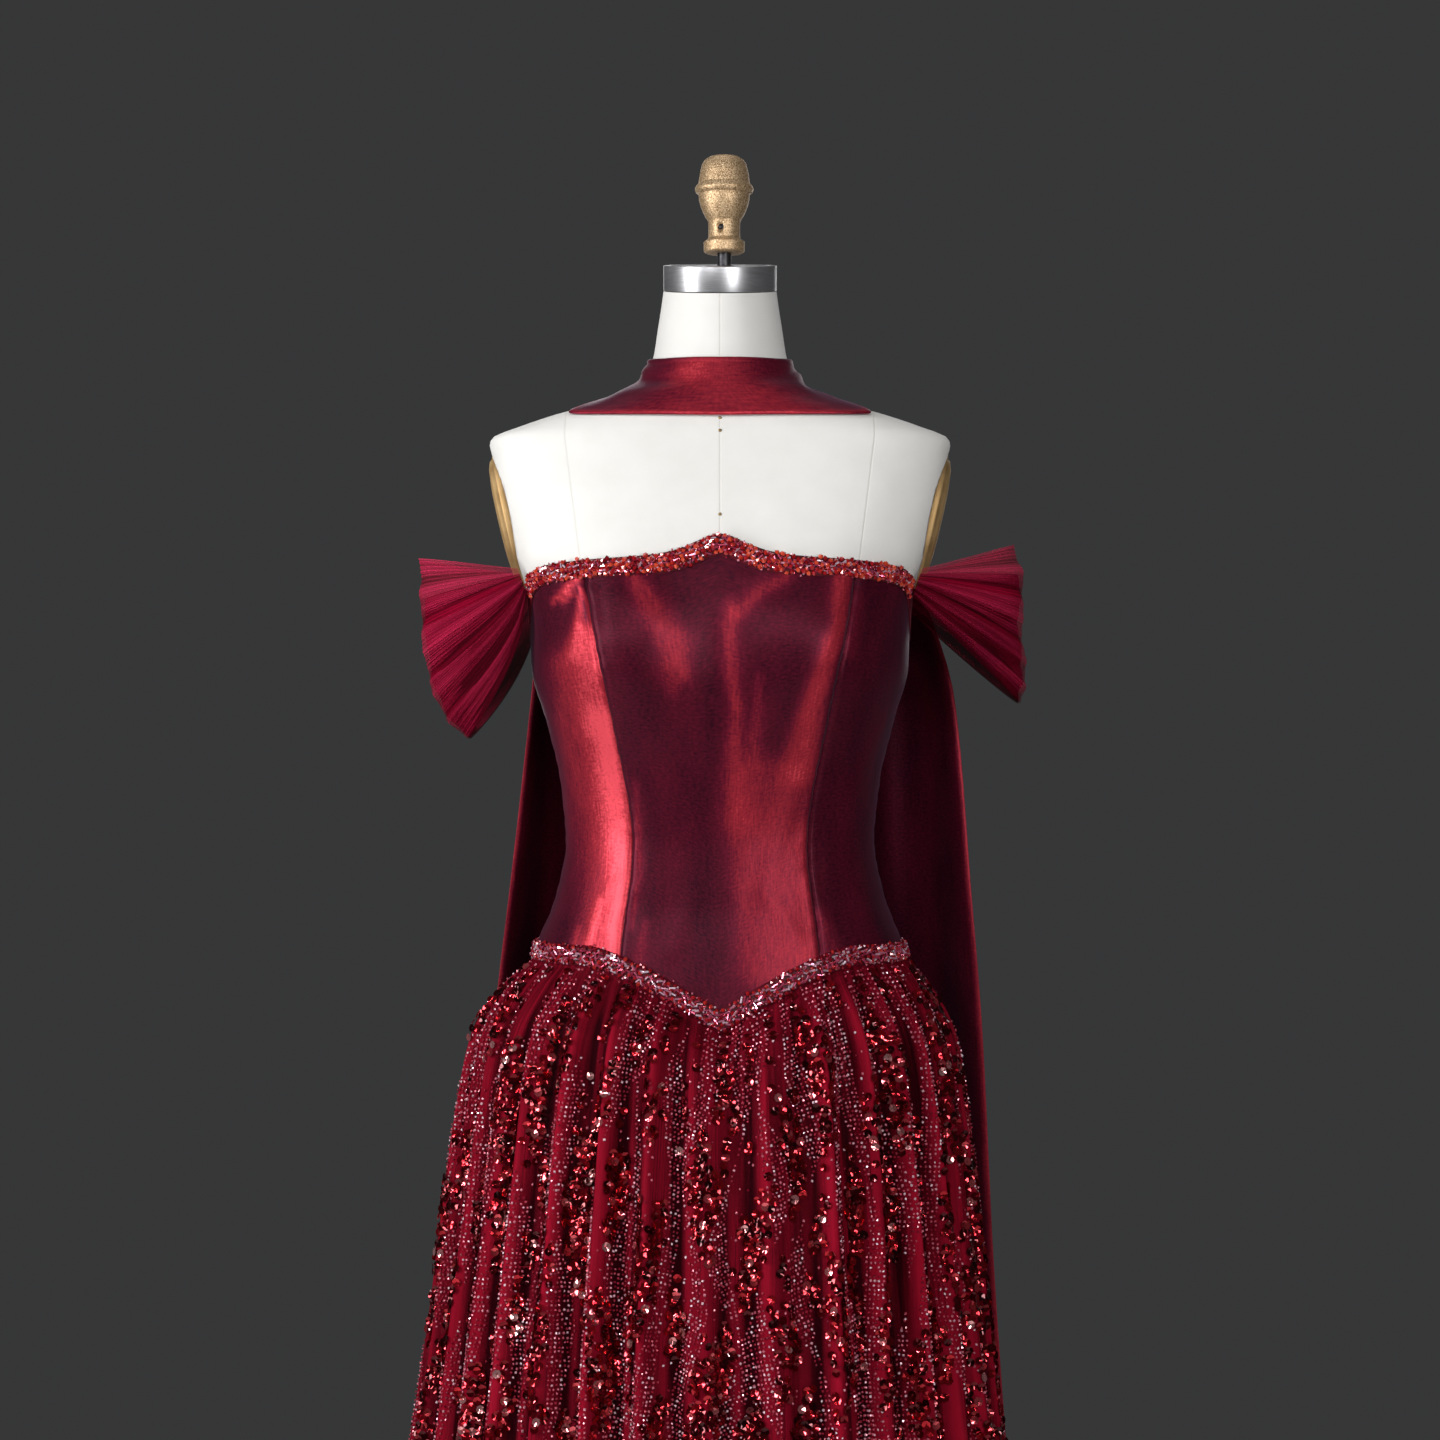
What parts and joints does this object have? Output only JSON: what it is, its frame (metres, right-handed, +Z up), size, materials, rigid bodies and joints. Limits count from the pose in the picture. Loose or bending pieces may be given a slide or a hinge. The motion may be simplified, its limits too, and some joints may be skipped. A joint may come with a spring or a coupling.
{
  "type": "evening dress on a limbless dress form",
  "caption": "Strapless evening dress with a gathered sequined skirt, net sleeves and a taffeta scarf, on a linen dress form with a round stand.",
  "frame": {"origin": "on the floor, at the centre of the stand base's flat underside", "axes": "+Z up, -Y to the dress's front, +X to the right of someone who looks at the front"},
  "size_m": [0.6653, 0.6964, 1.6294],
  "materials": {
    "linen": "matte plain weave",
    "arm_plate_brass": "aged, satin",
    "cap_steel": "turned, brushed",
    "stud_steel": "dark, satin",
    "knob_bronze": "speckled bronze paint",
    "stand_iron": "black enamel",
    "pole_steel": "polished",
    "taffeta": "shot taffeta, burgundy and violet, crisp sheen",
    "beading": "red crystals and silver-lined bugle beads",
    "skirt_net": "sheer crimson net",
    "skirt_lining": "plain crimson underlayer, soft sheen",
    "sleeve_net": "sheer crystal-pleated net",
    "sequins": "cupped, metallic red",
    "seed_beads": "silver-lined red seed beads"
  },
  "bodies": {
    "root": {"form_torso": "linen", "form_arm_plate_left": "arm_plate_brass", "form_arm_plate_right": "arm_plate_brass", "form_neck_cap": "cap_steel", "form_neck_stud": "stud_steel", "form_neck_knob": "knob_bronze", "stand_base": "stand_iron", "stand_pole": "pole_steel", "bodice_front_centre": "taffeta", "bodice_side_front_left": "taffeta", "bodice_side_front_right": "taffeta", "bodice_back_left": "taffeta", "bodice_back_right": "taffeta", "bodice_back_placket": "taffeta", "neckline_trim": "beading", "waist_trim": "beading", "skirt_front": "skirt_net", "skirt_back": "skirt_net", "skirt_lining": "skirt_lining", "sleeve_left": "sleeve_net", "sleeve_right": "sleeve_net", "scarf_band": "taffeta", "scarf_tail_left": "taffeta", "scarf_tail_right": "taffeta"}
  },
  "joints": []
}
